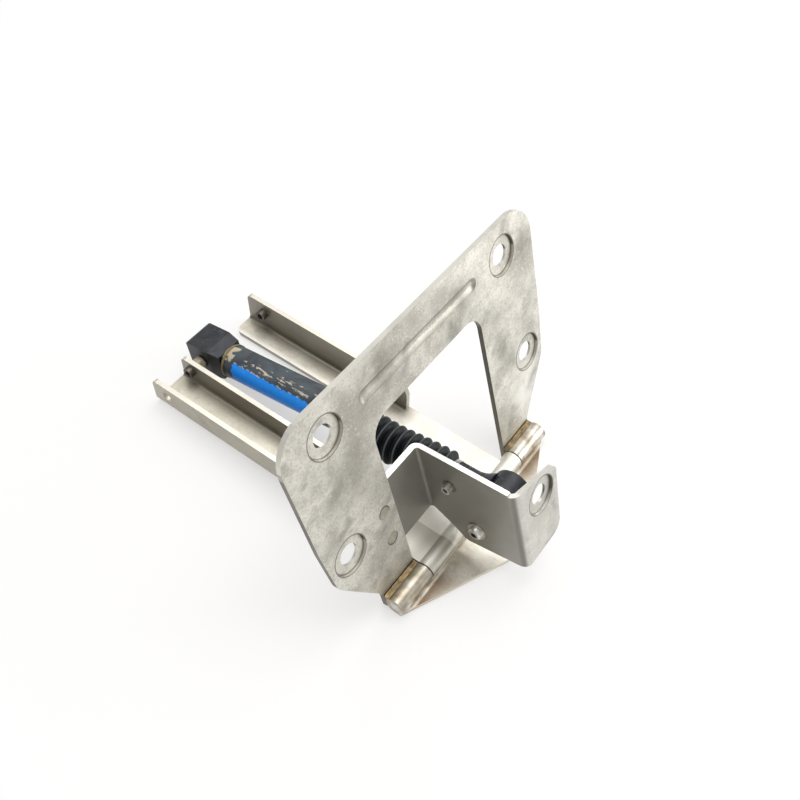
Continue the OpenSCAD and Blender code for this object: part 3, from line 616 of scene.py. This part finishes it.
# %% Turned surface helper
def turned(name, stations, radii, drops, crests, steps=72):
    """Closed profile turned round the damper's axis, with crests kept as a point attribute.

    A point is far ball + s along + r (cos across + sin up), less its station's drop in height.
    """
    theta = np.linspace(0.0, 2.0 * np.pi, steps, endpoint=False)
    ring = np.cos(theta)[:, None] * across + np.sin(theta)[:, None] * up
    line = stations[:, None, None] * along - drops[:, None, None] * np.array([0.0, 0.0, 1.0])
    points = far_ball + MM * (line + radii[:, None, None] * ring[None])
    count = len(stations)
    i, j = np.meshgrid(np.arange(count), np.arange(steps), indexing="ij")
    n, m = (i + 1) % count, (j + 1) % steps
    corners = [i * steps + j, i * steps + m, n * steps + m, n * steps + j]
    faces = np.stack(corners, -1).reshape(-1, 4)
    mesh = bpy.data.meshes.new(name)
    mesh.from_pydata(points.reshape(-1, 3), [], faces.tolist())
    marked = mesh.attributes.new("crest", "FLOAT", "POINT")
    marked.data.foreach_set("value", np.repeat(crests, steps))
    mesh.shade_smooth()
    obj = bpy.data.objects.new(name, mesh)
    bpy.context.scene.collection.objects.link(obj)
    return obj


print("turned surfaces follow", along.round(3), "from", far_ball.round(4))

# %% Build the bellows
points_per_fold = 18
roundness = 0.7  # below 1, crests are rounder than a wave and valleys tighter
skew = 0.65  # below 1, the deepest sag lies nearer to the tube
# how far the plain ends stay clear of the folds, outside and inside
cuff_out, cuff_in, tail_out, tail_in = 0.8, 0.6, 0.4, 0.2
t = np.linspace(0.0, 1.0, folds * points_per_fold + 1)
crest = crest_from + (crest_to - crest_from) * t
fullness = (0.5 - 0.5 * np.cos(2.0 * np.pi * folds * t)) ** roundness
outer_s = cuff_s + (tail_s - cuff_s) * t
on_tube = np.where(outer_s < cuff_s + tube_in, cuff_r, 0.0)
outer_r = np.maximum(crest - valley * (1.0 - fullness), on_tube)
head_s, head_r = [from_s, from_s, cuff_s - cuff_out], [seat_r, cuff_r, cuff_r]
end_s, end_r = [tail_s + tail_out, to_s, to_s, tail_s + tail_in], [tail_r, tail_r, rod_r, rod_r]
stations = np.concatenate([head_s, outer_s, end_s, outer_s[::-1], [cuff_s - cuff_in]])
radii = np.concatenate([head_r, outer_r, end_r, outer_r[::-1] - wall, [seat_r]])
free = np.clip((stations - cuff_s - tube_in) / (tail_s - cuff_s - tube_in), 0.0, 1.0)
drops = sag * np.sin(np.pi * free ** skew) ** 2
crests = np.zeros(len(stations))
crests[len(head_s):len(head_s) + len(t)] = fullness
gaiter = turned("rubber_gaiter", stations, radii, drops, crests)
gaiter.data.materials.append(rubber)
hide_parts("bellows")
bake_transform(gaiter)
print("gaiter with", folds, "folds and", len(gaiter.data.polygons), "faces")

# %% [markdown]
# ## Floor and light
# The part rests on its knuckles and on the far end of the damper, so the floor leans a little
# to meet both. The light is one broad soft lamp high up on the right, a smaller one at the right
# front and an even sky. The white ground comes from the floor's colour and, away from the part,
# from Light Path, so that the shadow under the part stays.

# %% Floor
FLOOR_SLOPE, FLOOR_DROP, FLOOR_REACH = 0.038, 0.0002, 3.0
GLOW_FROM, GLOW_TO = 0.08, 0.27
NEAR_GLOW, FAR_GLOW = 0.52, 0.97


def lay_floor():
    """One square: height is the slope times the distance behind the pin, less a small drop."""
    x, y = np.meshgrid([-FLOOR_REACH, FLOOR_REACH], [-FLOOR_REACH, FLOOR_REACH])
    z = FLOOR_SLOPE * (y - pin[1]) - FLOOR_DROP
    mesh = bpy.data.meshes.new("floor")
    mesh.from_pydata(np.stack([x, y, z], -1).reshape(-1, 3), [], [(0, 1, 3, 2)])
    obj = bpy.data.objects.new("floor", mesh)
    bpy.context.scene.collection.objects.link(obj)
    mat = bpy.data.materials.new("white painted board")
    mat.use_nodes = True
    tree = mat.node_tree
    tree.nodes.clear()
    seen = add(tree, "LightPath").node.outputs
    rays = add(tree, "Math", [seen["Is Camera Ray"], seen["Is Glossy Ray"]], operation="MAXIMUM")
    rays = add(tree, "Math", [rays, seen["Is Transmission Ray"]], operation="MAXIMUM")
    far = add(tree, "VectorMath", [add(tree, "TexCoord", out="Object")], **LENGTH)
    far = add(tree, "MapRange", [far, GLOW_FROM, GLOW_TO, NEAR_GLOW, FAR_GLOW], **SOFT)
    share = add(tree, "Math", [rays, far], **TIMES)
    board = add(tree, "BsdfDiffuse", {"Color": linear("#f7f6f4")})
    glow = add(tree, "Emission", {"Color": (1, 1, 1, 1), "Strength": 1.0})
    surface = add(tree, "MixShader", [share, board, glow])
    output = tree.nodes.new("ShaderNodeOutputMaterial")
    tree.links.new(surface, output.inputs["Surface"])
    mesh.materials.append(mat)
    return obj


floor = lay_floor()
print(floor.name, "leans by", FLOOR_SLOPE)

# %% World and lamps
world = bpy.data.worlds.new("soft sky")
bpy.context.scene.world = world
world.use_nodes = True
sky = world.node_tree
seen = add(sky, "LightPath").node.outputs
eye_rays = add(sky, "Math", [seen["Is Camera Ray"], seen["Is Transmission Ray"]],
               operation="MAXIMUM")
dim = add(sky, "Background", {"Color": linear("#f4f3f1"), "Strength": 0.55})
white = add(sky, "Background", {"Color": (1, 1, 1, 1), "Strength": 1.0})
both = add(sky, "MixShader", [eye_rays, dim, white])
sky.links.new(both, sky.nodes["World Output"].inputs["Surface"])


def lamp(name, place, size, power, aim=(0, 0, 0.05)):
    """A square soft lamp that faces the aim."""
    light = bpy.data.lights.new(name, "AREA")
    light.size, light.energy = size, power
    obj = bpy.data.objects.new(name, light)
    obj.location = place
    obj.rotation_euler = (Vector(aim) - Vector(place)).to_track_quat("-Z", "Y").to_euler()
    bpy.context.scene.collection.objects.link(obj)


lamp("overhead softbox", (0.3, 0.15, 1.25), size=1.2, power=12.5)
lamp("right front lamp", (0.6, -0.6, 0.3), size=0.5, power=3.5)

# %% [markdown]
# ## Camera
# The photograph looks down on the hinge from the front left. Its place and lens were fitted to
# the sheet edges, for a square image.

# %% Camera
# place in metres, then azimuth, elevation and roll, then the lens as the fit gave it
EYE_FROM_PIN = np.array([-0.24402, -0.11691, 0.44867])
EYE_DEGREES = [-55.305, 52.312, 1.997]
LENS_PIXELS, IMAGE_PIXELS, SENSOR_MM = 904.98, 800, 36.0
eye = EYE_FROM_PIN + pin
azimuth, elevation, roll = np.radians(EYE_DEGREES)
forward = np.array([-np.sin(azimuth) * np.cos(elevation), np.cos(azimuth) * np.cos(elevation),
                    -np.sin(elevation)])
flat_right = np.cross(forward, [0, 0, 1])
flat_right /= np.linalg.norm(flat_right)
flat_up = np.cross(flat_right, forward)
right = np.cos(roll) * flat_right + np.sin(roll) * flat_up
upright = np.cos(roll) * flat_up - np.sin(roll) * flat_right
rows = np.column_stack([right, upright, -forward, eye])
camera = bpy.data.objects.new("camera", bpy.data.cameras.new("camera"))
camera.data.sensor_width = SENSOR_MM
camera.data.lens = LENS_PIXELS / IMAGE_PIXELS * SENSOR_MM
camera.data.clip_start = 0.01
camera.matrix_world = Matrix([[*map(float, row)] for row in rows] + [[0, 0, 0, 1]])
bpy.context.scene.collection.objects.link(camera)
bpy.context.scene.camera = camera
bpy.context.scene.view_settings.view_transform = "Standard"
print("camera at", eye.round(3))
